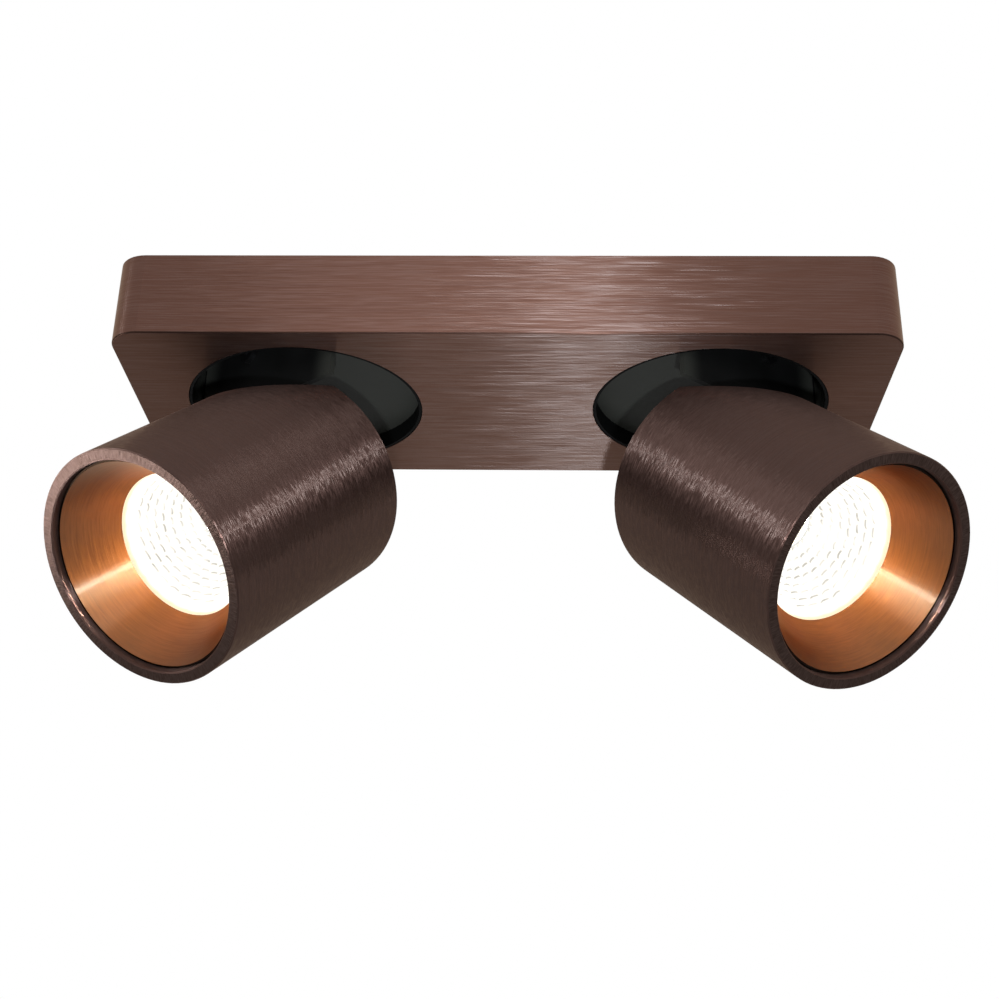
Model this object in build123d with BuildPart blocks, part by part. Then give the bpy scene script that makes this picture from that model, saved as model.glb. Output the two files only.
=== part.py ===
"""Twin spotlight: two swivelling, tilting lamp heads on one flat ceiling base, in millimetres.

The origin is the middle of the face that lies on the ceiling. X runs along the base, Y points away
from the side that the photograph shows, and Z points up into the ceiling. The heads stand in the pose
of the photograph.
"""

import os
from math import sqrt

from build123d import *

os.makedirs("parts", exist_ok=True)

# Base housing
base_length = 260.0
base_width = 100.0
base_height = 30.0
corner_radius = 10.0
edge_round = 0.6
wall = 3.0
front_thickness = 3.0
end_margin = 59.0
side_margin = 9.0
head_spacing = base_length - 2 * end_margin
head_x = head_spacing / 2
hole_radius = base_width / 2 - side_margin

# Turning joint between base and swivel cup
flat_gap = 0.1
turn_gap = 0.3
glide_thickness = 0.6
flange_thickness = 2.3
flange_reach = 4.0
ring_thickness = 1.5
ring_wall = 1.3
cup_wall = 1.2
cup_outer = hole_radius
cup_inner = cup_outer - cup_wall
spigot_recess = 0.2
spigot_outer = hole_radius - turn_gap
flange_radius = cup_outer + flange_reach
cup_bottom = front_thickness + glide_thickness + flat_gap
ring_under = cup_bottom + flange_thickness + flat_gap
ring_top = ring_under + ring_thickness
ring_outer = flange_radius + turn_gap + ring_wall
ring_inner = cup_outer + 2.0 * turn_gap
floor_depth = 6.5
floor_thickness = 2.5
floor_top = floor_depth + floor_thickness
pocket_depth = 19.0
pocket_cover = 2.0
pocket_top = pocket_depth + pocket_cover
step_wall = 4.0
stop_half = 1.5

# Hinge of the tilting joint: distance in front of the turning axis, drop below the base's front face
hinge_offset = 19.0
hinge_drop = 19.6
hinge_setback = 10.65
leaf_thickness = 2.0
leaf_gap = 2.2
leaf_lower_edge = -6.3
arm_half_width = 8.0
barrel_radius = 5.0
pin_radius = 2.5
pin_gap = 0.06
washer_thickness = 1.5
washer_radius = 6.0
ear_inside = arm_half_width + washer_thickness + flat_gap
ear_thickness = 6.4
ear_outside = ear_inside + ear_thickness
ear_relief = 20.0
leaf_back = hinge_offset - leaf_thickness / 2
leaf_front = hinge_offset + leaf_thickness / 2
leaf_half_width = sqrt(cup_inner**2 - leaf_front**2) - leaf_gap

# Lamp head, lengths measured from the tube's rear plane towards the light opening
tube_radius = 38.3
tube_wall = 3.8
tube_bore = tube_radius - tube_wall
tube_length = 85.0
cut_run = 24.8
cut_depth = 13.3
insert_inset = 2.5
cap_thickness = 2.0
cap_screw_depth = 8.0
optics_length = 45.0
sink_front = tube_length - optics_length
sink_base = 9.0
groove_end = sink_front - sink_base
groove_width = 4.0
groove_pitch = 7.0
groove_first = 9.0
vent_length = 24.0
vent_width = 2.6
board_thickness = 1.6
board_radius = 11.0
chip_radius = 7.0
chip_height = 0.8
holder_height = 4.0
holder_top = sink_front + holder_height
holder_radius = 18.0
sleeve_inset = 6.0
sleeve_outer = tube_bore - sleeve_inset
sleeve_wall = 2.0
mouth_depth = 21.0
bowl_mouth = tube_length - mouth_depth
bowl_margin = 1.8
bowl_rear_radius = chip_radius + bowl_margin
bowl_inset = 10.9
bowl_front_radius = tube_bore - bowl_inset
bowl_wall = 1.2
facet_count = 24
facet_rings = 7
bowl_flange = 1.2
cone_rear = bowl_mouth + bowl_flange
cone_setback = 1.2
cone_front = tube_length - cone_setback
cone_step = 0.2
cone_rear_radius = bowl_front_radius + cone_step
cone_inset = 2.3
cone_front_radius = tube_bore - cone_inset
cone_wall = 0.8
cone_lip = 0.25
seat_rear_depth = 12.0
seat_front_depth = 5.0
seat_rear = tube_length - seat_rear_depth
seat_front = tube_length - seat_front_depth

# Small fasteners
screw_radius = 1.25
screw_clear = 1.6
screw_head_radius = 2.75
screw_head_height = 1.8
ring_screw_reach = 5.4
ring_screw_circle = ring_outer + ring_screw_reach
boss_radius = 4.0
post_radius = 3.0
lug_radius = 4.5
lug_width = 9.0

# Mounting plate, flush with the housing's rim
plate_thickness = 1.5
plate_gap = 0.3
plate_length = base_length - 2 * wall - 2 * plate_gap
plate_width = base_width - 2 * wall - 2 * plate_gap
tab_width = 40.0
tab_drop = 14.0
grub_radius = 2.0
grub_height = 8.0
slot_inset = 50.0
slot_spacing = base_length - 2 * slot_inset
slot_width = 5.5
slot_length = 14.0
cable_inset = 26.0
cable_y = base_width / 2 - cable_inset
cable_hole = 8.0
cable_bore = 5.5
earth_pitch = 16.0
earth_y = cable_y + earth_pitch
grommet_length = 6.0
grommet_lip = 2.5
lip_thickness = 1.8

# Electrics inside the base
post_top = 8.5
bay_gap = 2.5
bay_half = head_x - cup_outer - bay_gap
terminal_width = 14.0
terminal_inset = 7.5
terminal_x = bay_half - terminal_inset
cable_x = terminal_x
driver_gap = 3.5
driver_width = bay_half + terminal_x - terminal_width / 2 - driver_gap
driver_x = driver_width / 2 - bay_half
driver_end_gap = 11.0
driver_length = base_width - 2 * driver_end_gap
driver_height = 17.5
driver_ear = 6.0
driver_ear_width = 9.0
driver_screw_y = driver_length / 2 + driver_ear / 2
terminal_length = 34.0
terminal_y = -terminal_length / 2
terminal_height = 13.0
terminal_post_pitch = 27.0
terminal_pitch = 6.6

# Pose of the photograph, in degrees: turn from straight towards the viewer, tilt from straight down
left_turn = -38.0
left_tilt = 49.0
right_turn = 39.5
right_tilt = 49.5

front_face = -base_height
ring_reach = ring_screw_circle * sqrt(0.5)
ring_corners = [(sx * ring_reach, sy * ring_reach) for sx in (-1, 1) for sy in (-1, 1)]
ring_screw_spots = [(side * head_x + cx, cy) for side in (-1, 1) for cx, cy in ring_corners]
driver_spots = [(driver_x, -driver_screw_y), (driver_x, driver_screw_y)]
terminal_spots = [
    (terminal_x, terminal_y - terminal_post_pitch / 2),
    (terminal_x, terminal_y + terminal_post_pitch / 2),
]


def save(piece, name):
    piece.label = name
    export_step(piece, f"parts/{name}.step")


def bowl_radius(along):
    """Inner radius of the reflector's bowl, a parabola from the light source to the mouth."""
    share = (along - holder_top) / (bowl_mouth - holder_top)
    return sqrt(bowl_rear_radius**2 + share * (bowl_front_radius**2 - bowl_rear_radius**2))


def cone_outer(along):
    """Outer radius of the copper cone."""
    share = (along - cone_rear) / (cone_front - cone_rear)
    return cone_rear_radius + cone_wall + share * (cone_front_radius - cone_rear_radius)


def slanted_corner(inset):
    """Outline, in the tilting plane, of the corner that the slanted rear cut takes off."""
    slope = cut_run / cut_depth
    edge = -(tube_radius - cut_depth) + inset
    far = -tube_radius - 8.0
    return [(edge + 3.0 / slope, 3.0), (far, slope * (far - edge)), (far, 3.0)]


# Base

with BuildPart() as housing:
    with BuildSketch(Plane.XY.offset(front_face)):
        RectangleRounded(base_length, base_width, corner_radius)
    extrude(amount=base_height)
    fillet(housing.edges().group_by(Axis.Z)[0], edge_round)
    with BuildSketch(Plane.XY.offset(front_face + front_thickness)):
        RectangleRounded(base_length - 2 * wall, base_width - 2 * wall, corner_radius - wall)
    extrude(amount=base_height, mode=Mode.SUBTRACT)
    with BuildSketch(Plane.XY.offset(front_face + front_thickness)):
        with Locations(*ring_screw_spots):
            Circle(boss_radius)
    extrude(amount=ring_under - front_thickness)
    with BuildSketch(Plane.XY.offset(front_face + front_thickness)):
        with Locations(*driver_spots, *terminal_spots):
            Circle(post_radius)
    extrude(amount=post_top - front_thickness)
    with BuildSketch(Plane.XY.offset(front_face + front_thickness / 2)):
        with Locations(*ring_screw_spots, *driver_spots, *terminal_spots):
            Circle(screw_radius)
    extrude(amount=base_height / 2, mode=Mode.SUBTRACT)
    with BuildSketch(Plane.XY.offset(front_face)):
        with Locations((-head_x, 0), (head_x, 0)):
            Circle(hole_radius)
    extrude(amount=front_thickness, mode=Mode.SUBTRACT)
    with BuildSketch(Plane.YZ):
        with Locations((0, -grub_height)):
            Circle(grub_radius)
    extrude(amount=base_length, both=True, mode=Mode.SUBTRACT)

with BuildPart() as mounting_plate:
    with BuildSketch(Plane.XY.offset(-plate_thickness)):
        RectangleRounded(plate_length, plate_width, corner_radius - wall - plate_gap)
        with Locations((-slot_spacing / 2, 0), (slot_spacing / 2, 0)):
            SlotOverall(slot_length, slot_width, mode=Mode.SUBTRACT)
        with Locations((cable_x, cable_y)):
            Circle(cable_hole, mode=Mode.SUBTRACT)
        with Locations((cable_x, earth_y)):
            Circle(grub_radius, mode=Mode.SUBTRACT)
    extrude(amount=plate_thickness)
    with BuildSketch(Plane.XY.offset(-plate_thickness)):
        with Locations((-(plate_length - plate_thickness) / 2, 0), ((plate_length - plate_thickness) / 2, 0)):
            Rectangle(plate_thickness, tab_width)
    extrude(amount=plate_thickness - tab_drop)
    with BuildSketch(Plane.YZ):
        with Locations((0, -grub_height)):
            Circle(grub_radius)
    extrude(amount=base_length, both=True, mode=Mode.SUBTRACT)

grub_inner = plate_length / 2 - plate_thickness - 1.0
with BuildPart() as plate_side_screws:
    for side in (-1, 1):
        with BuildSketch(Plane.YZ.offset(side * grub_inner)):
            with Locations((0, -grub_height)):
                Circle(grub_radius)
        extrude(amount=side * (base_length / 2 - 0.3 - grub_inner))
        with BuildSketch(Plane.YZ.offset(side * (base_length / 2 - 0.3))):
            with Locations((0, -grub_height)):
                RegularPolygon(1.15, 6)
        extrude(amount=-side * 2.0, mode=Mode.SUBTRACT)

with BuildPart() as cable_grommet:
    with BuildSketch(Plane.XY.offset(-grommet_length)):
        with Locations((cable_x, cable_y)):
            Circle(cable_hole)
    extrude(amount=grommet_length)
    with BuildSketch(Plane.XY.offset(-plate_thickness - lip_thickness)):
        with Locations((cable_x, cable_y)):
            Circle(cable_hole + grommet_lip)
    extrude(amount=lip_thickness)
    with BuildSketch(Plane.XY.offset(-grommet_length)):
        with Locations((cable_x, cable_y)):
            Circle(cable_bore)
    extrude(amount=grommet_length, mode=Mode.SUBTRACT)

with BuildPart() as earth_screw:
    with BuildSketch(Plane.XY.offset(-plate_thickness - 2.6)):
        with Locations((cable_x, earth_y)):
            Circle(3.8)
    extrude(amount=2.6)
    with BuildSketch(Plane.XY.offset(-plate_thickness)):
        with Locations((cable_x, earth_y)):
            Circle(grub_radius)
    extrude(amount=plate_thickness)
    with BuildSketch(Plane.XY.offset(-plate_thickness - 2.6)):
        with Locations((cable_x, earth_y)):
            Rectangle(5.6, 1.0)
    extrude(amount=1.2, mode=Mode.SUBTRACT)

driver_base = front_face + post_top
with BuildPart() as led_driver:
    with BuildSketch(Plane.XY.offset(driver_base)):
        with Locations((driver_x, 0)):
            RectangleRounded(driver_width, driver_length, 2.0)
    extrude(amount=driver_height)
    chamfer(led_driver.edges().group_by(Axis.Z)[-1], 1.0)
    with BuildSketch(Plane.XY.offset(driver_base)):
        with Locations((driver_x, 0)):
            Rectangle(driver_ear_width, driver_length + 2 * driver_ear)
        with Locations(*driver_spots):
            Circle(screw_clear, mode=Mode.SUBTRACT)
    extrude(amount=2.0)

with BuildPart() as driver_screws:
    with BuildSketch(Plane.XY.offset(driver_base + 2.0)):
        with Locations(*driver_spots):
            Circle(screw_head_radius)
    extrude(amount=screw_head_height)
    with BuildSketch(Plane.XY.offset(front_face + front_thickness)):
        with Locations(*driver_spots):
            Circle(screw_radius)
    extrude(amount=post_top + 2.0 - front_thickness)

clamp_spots = [
    (terminal_x + sx * 3.6, terminal_y + k * terminal_pitch) for sx in (-1, 1) for k in (-1, 0, 1)
]
with BuildPart() as terminal_block:
    with BuildSketch(Plane.XY.offset(driver_base)):
        with Locations((terminal_x, terminal_y)):
            RectangleRounded(terminal_width, terminal_length, 1.5)
        with Locations(*terminal_spots):
            Circle(screw_clear, mode=Mode.SUBTRACT)
    extrude(amount=4.0)
    with BuildSketch(Plane.XY.offset(driver_base + 4.0)):
        with Locations(*[(terminal_x, terminal_y + k * terminal_pitch) for k in (-1, 0, 1)]):
            Rectangle(terminal_width, terminal_pitch - 1.2)
    extrude(amount=terminal_height - 4.0)
    with BuildSketch(Plane.XY.offset(driver_base + terminal_height - 5.0)):
        with Locations(*clamp_spots):
            Circle(2.0)
    extrude(amount=5.0, mode=Mode.SUBTRACT)
    for k in (-1, 0, 1):
        with BuildSketch(Plane.YZ.offset(terminal_x - terminal_width)):
            with Locations((terminal_y + k * terminal_pitch, driver_base + 4.5)):
                Circle(1.6)
        extrude(amount=2 * terminal_width, mode=Mode.SUBTRACT)

with BuildPart() as terminal_clamp_screws:
    with BuildSketch(Plane.XY.offset(driver_base + terminal_height - 5.0)):
        with Locations(*clamp_spots):
            Circle(2.0)
    extrude(amount=3.0)
    with BuildSketch(Plane.XY.offset(driver_base + terminal_height - 3.0)):
        with Locations(*clamp_spots):
            Rectangle(3.2, 0.7)
    extrude(amount=1.0, mode=Mode.SUBTRACT)

with BuildPart() as terminal_screws:
    with BuildSketch(Plane.XY.offset(driver_base + 4.0)):
        with Locations(*terminal_spots):
            Circle(screw_head_radius)
    extrude(amount=screw_head_height)
    with BuildSketch(Plane.XY.offset(front_face + front_thickness)):
        with Locations(*terminal_spots):
            Circle(screw_radius)
    extrude(amount=post_top + 4.0 - front_thickness)

# Turning joint, drawn around the hole's centre with zero height at the base's front face

with BuildPart() as friction_ring:
    with BuildSketch(Plane.XY.offset(front_thickness)):
        Circle(flange_radius)
        Circle(cup_outer + turn_gap, mode=Mode.SUBTRACT)
    extrude(amount=glide_thickness)

with BuildPart() as retaining_ring:
    with BuildSketch(Plane.XY.offset(front_thickness)):
        Circle(ring_outer)
        Circle(flange_radius + turn_gap, mode=Mode.SUBTRACT)
    extrude(amount=ring_top - front_thickness)
    with BuildSketch(Plane.XY.offset(ring_under)):
        with Locations((0, 0, 0)):
            Circle(ring_outer)
        with PolarLocations((ring_outer + ring_screw_circle) / 2 - 1.0, 4, start_angle=45):
            Rectangle(ring_screw_circle - ring_outer + boss_radius, lug_width)
        with PolarLocations(ring_screw_circle, 4, start_angle=45):
            Circle(lug_radius)
        Circle(ring_inner, mode=Mode.SUBTRACT)
        with PolarLocations(ring_screw_circle, 4, start_angle=45):
            Circle(screw_clear, mode=Mode.SUBTRACT)
    extrude(amount=ring_thickness)
    with BuildSketch(Plane.XY.offset(ring_top)):
        with Locations((0, -(ring_inner + flange_radius) / 2 - 0.2)):
            Rectangle(2 * stop_half, flange_radius - ring_inner)
    extrude(amount=3.0)

with BuildPart() as ring_screws:
    with BuildSketch(Plane.XY.offset(ring_top)):
        with PolarLocations(ring_screw_circle, 4, start_angle=45):
            Circle(screw_head_radius)
    extrude(amount=screw_head_height)
    with BuildSketch(Plane.XY.offset(front_thickness / 2)):
        with PolarLocations(ring_screw_circle, 4, start_angle=45):
            Circle(screw_radius)
    extrude(amount=ring_top - front_thickness / 2)
    with BuildSketch(Plane.XY.offset(ring_top + screw_head_height)):
        with PolarLocations(ring_screw_circle, 4, start_angle=45):
            Rectangle(3.6, 0.8)
            Rectangle(0.8, 3.6)
    extrude(amount=-0.9, mode=Mode.SUBTRACT)

leaf_screw_spots = [(-9.0, 15.2), (9.0, 15.2)]
cup_bush_y = 10.0
cup_bush_radius = 5.0
with BuildPart() as swivel_cup:
    with BuildSketch(Plane.XY.offset(cup_bottom)):
        Circle(flange_radius)
    extrude(amount=flange_thickness)
    with BuildSketch(Plane.XY.offset(cup_bottom)):
        Circle(cup_outer)
    extrude(amount=floor_top - cup_bottom)
    with BuildSketch(Plane.XY.offset(floor_top)):
        Circle(cup_outer)
        with Locations((0, -(leaf_back - step_wall))):
            Rectangle(3 * cup_outer, 2 * cup_outer, align=(Align.CENTER, Align.MAX), mode=Mode.INTERSECT)
    extrude(amount=pocket_top - floor_top)
    with BuildSketch(Plane.XY.offset(spigot_recess)):
        Circle(spigot_outer)
    extrude(amount=cup_bottom - spigot_recess)
    with BuildSketch(Plane.XY.offset(ring_top + 0.5)):
        with Locations((0, cup_outer)):
            Rectangle(2 * stop_half, 4.6)
    extrude(amount=2.2)
    with BuildSketch(Plane.XY.offset(spigot_recess)):
        Circle(cup_inner)
    extrude(amount=floor_depth - spigot_recess, mode=Mode.SUBTRACT)
    with BuildSketch(Plane.XY.offset(floor_depth)):
        Circle(cup_inner)
        with Locations((0, -leaf_back)):
            Rectangle(3 * cup_outer, 2 * cup_outer, align=(Align.CENTER, Align.MAX), mode=Mode.INTERSECT)
    extrude(amount=pocket_depth - floor_depth, mode=Mode.SUBTRACT)
    with BuildSketch(Plane.XY.offset(floor_depth)):
        with Locations((0, cup_bush_y)):
            Circle(cup_bush_radius)
    extrude(amount=floor_thickness, mode=Mode.SUBTRACT)
    with BuildSketch(Plane.XZ.offset(leaf_back - step_wall)):
        with Locations(*leaf_screw_spots):
            Circle(screw_clear)
    extrude(amount=step_wall, mode=Mode.SUBTRACT)

with BuildPart() as cup_bush:
    with BuildSketch(Plane.XY.offset(floor_depth)):
        with Locations((0, cup_bush_y)):
            Circle(cup_bush_radius)
    extrude(amount=floor_thickness + 1.5)
    with BuildSketch(Plane.XY.offset(floor_depth - 1.2)):
        with Locations((0, cup_bush_y)):
            Circle(cup_bush_radius + 1.6)
    extrude(amount=1.2)
    with BuildSketch(Plane.XY.offset(floor_depth - 1.2)):
        with Locations((0, cup_bush_y)):
            Circle(3.2)
    extrude(amount=10.0, mode=Mode.SUBTRACT)

with BuildPart() as hinge_leaf:
    with BuildSketch(Plane.XZ.offset(leaf_back)):
        with Locations((0, (pocket_depth - 0.5 + leaf_lower_edge) / 2)):
            Rectangle(2 * leaf_half_width, pocket_depth - 0.5 - leaf_lower_edge)
        with Locations((0, leaf_lower_edge)):
            Rectangle(2 * arm_half_width, hinge_drop + leaf_lower_edge, align=(Align.CENTER, Align.MAX))
        with Locations(*leaf_screw_spots):
            Circle(screw_clear, mode=Mode.SUBTRACT)
    extrude(amount=leaf_thickness)
    with BuildSketch(Plane.YZ.offset(-arm_half_width)):
        with Locations((-hinge_offset, -hinge_drop)):
            Circle(barrel_radius)
    extrude(amount=2 * arm_half_width)
    with BuildSketch(Plane.YZ.offset(-arm_half_width)):
        with Locations((-hinge_offset, -hinge_drop)):
            Circle(pin_radius + pin_gap)
    extrude(amount=2 * arm_half_width, mode=Mode.SUBTRACT)

with BuildPart() as leaf_screws:
    with BuildSketch(Plane.XZ.offset(leaf_back - step_wall)):
        with Locations(*leaf_screw_spots):
            Circle(screw_clear)
    extrude(amount=step_wall + leaf_thickness)
    with BuildSketch(Plane.XZ.offset(leaf_front)):
        with Locations(*leaf_screw_spots):
            Circle(3.2)
    extrude(amount=2.0)
    with BuildSketch(Plane.XZ.offset(leaf_front + 2.0)):
        with Locations(*leaf_screw_spots):
            RegularPolygon(1.4, 6)
    extrude(amount=-1.2, mode=Mode.SUBTRACT)

# Lamp head, drawn pointing straight down with its rear plane at zero height

with BuildPart() as head_tube:
    with BuildSketch(Plane.XY):
        Circle(tube_radius)
        Circle(tube_bore, mode=Mode.SUBTRACT)
    extrude(amount=-tube_length)
    chamfer(head_tube.edges().group_by(Axis.Z)[0], 0.4)
    with BuildSketch(Plane.YZ):
        Polygon(*slanted_corner(0.0), align=None)
    extrude(amount=2 * tube_radius, both=True, mode=Mode.SUBTRACT)

head_bush_y = 23.0
cap_screw_spots = [(0.0, -6.0), (0.0, 12.0)]
groove_spots = [side * (groove_first + k * groove_pitch) for side in (-1, 1) for k in range(4)]
groove_rear = -8.0
holder_screw_spots = [(-15.3, 0.0), (15.3, 0.0)]

with BuildPart() as heat_sink:
    with BuildSketch(Plane.XY.offset(-cap_thickness)):
        Circle(tube_bore)
    extrude(amount=cap_thickness - sink_front)
    with BuildSketch(Plane.YZ):
        Polygon(*slanted_corner(insert_inset), align=None)
    extrude(amount=2 * tube_radius, both=True, mode=Mode.SUBTRACT)
    with BuildSketch(Plane.XY):
        with Locations((0, -hinge_offset + barrel_radius + 2.0)):
            Rectangle(2 * ear_inside, 2 * tube_radius, align=(Align.CENTER, Align.MAX))
    extrude(amount=-(hinge_setback + barrel_radius + 2.7), mode=Mode.SUBTRACT)
    with BuildSketch(Plane.XY):
        for side in (-1, 1):
            with Locations((side * (ear_outside + ear_relief / 2), -hinge_offset + 6.0)):
                Rectangle(ear_relief, 2 * tube_radius, align=(Align.CENTER, Align.MAX))
    extrude(amount=-(hinge_setback + 6.0), mode=Mode.SUBTRACT)
    with BuildSketch(Plane.YZ):
        with Locations((-hinge_offset, -hinge_setback)):
            Circle(pin_radius)
    extrude(amount=tube_radius, both=True, mode=Mode.SUBTRACT)
    with BuildSketch(Plane.XY.offset(-cap_thickness)):
        for spot in groove_spots:
            with Locations((spot, groove_rear)):
                Rectangle(groove_width, 2 * tube_radius, align=(Align.CENTER, Align.MIN))
    extrude(amount=cap_thickness - groove_end, mode=Mode.SUBTRACT)
    with BuildSketch(Plane.XY.offset(-cap_thickness)):
        with Locations((0, head_bush_y)):
            Circle(4.0)
    extrude(amount=cap_thickness - sink_front, mode=Mode.SUBTRACT)
    with BuildSketch(Plane.XY.offset(-cap_thickness)):
        with Locations(*cap_screw_spots):
            Circle(screw_radius)
    extrude(amount=-cap_screw_depth, mode=Mode.SUBTRACT)
    with BuildSketch(Plane.XY.offset(-sink_front)):
        with Locations(*holder_screw_spots):
            Circle(screw_radius)
    extrude(amount=6.0, mode=Mode.SUBTRACT)

with BuildPart() as rear_cap:
    with BuildSketch(Plane.XY):
        Circle(tube_bore)
        with Locations((0, head_bush_y)):
            Circle(4.0, mode=Mode.SUBTRACT)
        with Locations(*cap_screw_spots):
            Circle(screw_clear, mode=Mode.SUBTRACT)
        for side in (-1, 1):
            with Locations((side * groove_first, 8.0), (side * (groove_first + groove_pitch), 8.0)):
                SlotOverall(vent_length, vent_width, rotation=90, mode=Mode.SUBTRACT)
        with Locations((0, -hinge_offset + barrel_radius + 2.0)):
            Rectangle(2 * ear_inside, 2 * tube_radius, align=(Align.CENTER, Align.MAX), mode=Mode.SUBTRACT)
    extrude(amount=-cap_thickness)
    with BuildSketch(Plane.YZ):
        Polygon(*slanted_corner(insert_inset), align=None)
    extrude(amount=2 * tube_radius, both=True, mode=Mode.SUBTRACT)

with BuildPart() as rear_cap_screws:
    with BuildSketch(Plane.XY):
        with Locations(*cap_screw_spots):
            Circle(screw_head_radius)
    extrude(amount=screw_head_height)
    with BuildSketch(Plane.XY):
        with Locations(*cap_screw_spots):
            Circle(screw_radius)
    extrude(amount=-cap_thickness - cap_screw_depth)
    with BuildSketch(Plane.XY.offset(screw_head_height)):
        with Locations(*cap_screw_spots):
            Rectangle(3.6, 0.8)
            Rectangle(0.8, 3.6)
    extrude(amount=-0.9, mode=Mode.SUBTRACT)

with BuildPart() as head_bush:
    with BuildSketch(Plane.XY):
        with Locations((0, head_bush_y)):
            Circle(5.8)
    extrude(amount=1.2)
    with BuildSketch(Plane.XY):
        with Locations((0, head_bush_y)):
            Circle(4.0)
    extrude(amount=-cap_thickness - 2.0)
    with BuildSketch(Plane.XY.offset(1.2)):
        with Locations((0, head_bush_y)):
            Circle(2.6)
    extrude(amount=-10.0, mode=Mode.SUBTRACT)

with BuildPart() as hinge_pin:
    with BuildSketch(Plane.YZ.offset(-ear_outside)):
        with Locations((-hinge_offset, -hinge_setback)):
            Circle(pin_radius)
    extrude(amount=2 * ear_outside + 4.5)
    with BuildSketch(Plane.YZ.offset(-ear_outside)):
        with Locations((-hinge_offset, -hinge_setback)):
            Circle(4.2)
    extrude(amount=-2.8)
    with BuildSketch(Plane.YZ.offset(-ear_outside - 2.8)):
        with Locations((-hinge_offset, -hinge_setback)):
            RegularPolygon(1.7, 6)
    extrude(amount=1.6, mode=Mode.SUBTRACT)

with BuildPart() as hinge_nut:
    with BuildSketch(Plane.YZ.offset(ear_outside)):
        with Locations((-hinge_offset, -hinge_setback)):
            RegularPolygon(4.6, 6)
            Circle(pin_radius, mode=Mode.SUBTRACT)
    extrude(amount=4.0)

with BuildPart() as friction_washers:
    for start in (-ear_inside, arm_half_width + flat_gap):
        with BuildSketch(Plane.YZ.offset(start)):
            with Locations((-hinge_offset, -hinge_setback)):
                Circle(washer_radius)
                Circle(pin_radius, mode=Mode.SUBTRACT)
        extrude(amount=washer_thickness)

with BuildPart() as led_board:
    with BuildSketch(Plane.XY.offset(-sink_front)):
        Circle(board_radius)
    extrude(amount=-board_thickness)

with BuildPart() as led_chip:
    with BuildSketch(Plane.XY.offset(-sink_front - board_thickness)):
        Circle(chip_radius)
    extrude(amount=-chip_height)

with BuildPart() as led_holder:
    with BuildSketch(Plane.XY.offset(-sink_front)):
        Circle(holder_radius)
        Circle(bowl_rear_radius - 0.8, mode=Mode.SUBTRACT)
        with Locations(*holder_screw_spots):
            Circle(screw_radius, mode=Mode.SUBTRACT)
    extrude(amount=sink_front - holder_top)
    with BuildSketch(Plane.XY.offset(-sink_front)):
        Circle(board_radius)
    extrude(amount=-board_thickness, mode=Mode.SUBTRACT)

with BuildPart() as holder_screws:
    with BuildSketch(Plane.XY.offset(-holder_top)):
        with Locations(*holder_screw_spots):
            Circle(2.2)
    extrude(amount=-1.4)
    with BuildSketch(Plane.XY.offset(-holder_top)):
        with Locations(*holder_screw_spots):
            Circle(screw_radius)
    extrude(amount=holder_top - sink_front + 6.0)

with BuildPart() as reflector_sleeve:
    with BuildSketch(Plane.XY.offset(-sink_front)):
        Circle(sleeve_outer)
        Circle(sleeve_outer - sleeve_wall, mode=Mode.SUBTRACT)
    extrude(amount=sink_front - bowl_mouth)

ring_step = (bowl_mouth - holder_top) / facet_rings
ring_edges = [holder_top + k * ring_step for k in range(facet_rings)] + [cone_rear]
with BuildPart() as reflector:
    with BuildSketch(Plane.XZ):
        with BuildLine():
            Polyline(
                (0, -holder_top),
                *[(bowl_radius(along) + bowl_wall, -along) for along in ring_edges[:-1]],
                (bowl_radius(bowl_mouth) + bowl_wall, -bowl_mouth),
                (sleeve_outer, -bowl_mouth),
                (sleeve_outer, -cone_rear),
                (0, -cone_rear),
                close=True,
            )
        make_face()
    revolve(axis=Axis.Z)
    for k in range(facet_rings):
        turn = (k % 2) * 180.0 / facet_count
        with BuildSketch(Plane.XY.offset(-ring_edges[k])):
            RegularPolygon(bowl_radius(ring_edges[k]), facet_count, rotation=turn)
        with BuildSketch(Plane.XY.offset(-ring_edges[k + 1])):
            RegularPolygon(bowl_radius(ring_edges[k + 1]), facet_count, rotation=turn)
        loft(ruled=True, mode=Mode.SUBTRACT)

with BuildPart() as copper_cone:
    with BuildSketch(Plane.XZ):
        Polygon(
            (cone_rear_radius, -cone_rear),
            (cone_rear_radius + cone_wall, -cone_rear),
            (cone_outer(seat_front), -seat_front),
            (cone_front_radius + cone_lip, -cone_front),
            (cone_front_radius, -cone_front),
            align=None,
        )
    revolve(axis=Axis.Z)

with BuildPart() as cone_seat:
    with BuildSketch(Plane.XZ):
        Polygon(
            (cone_outer(seat_rear), -seat_rear),
            (tube_bore, -seat_rear),
            (tube_bore, -seat_front),
            (cone_outer(seat_front), -seat_front),
            align=None,
        )
    revolve(axis=Axis.Z)

# Placing and writing the pieces

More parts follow.
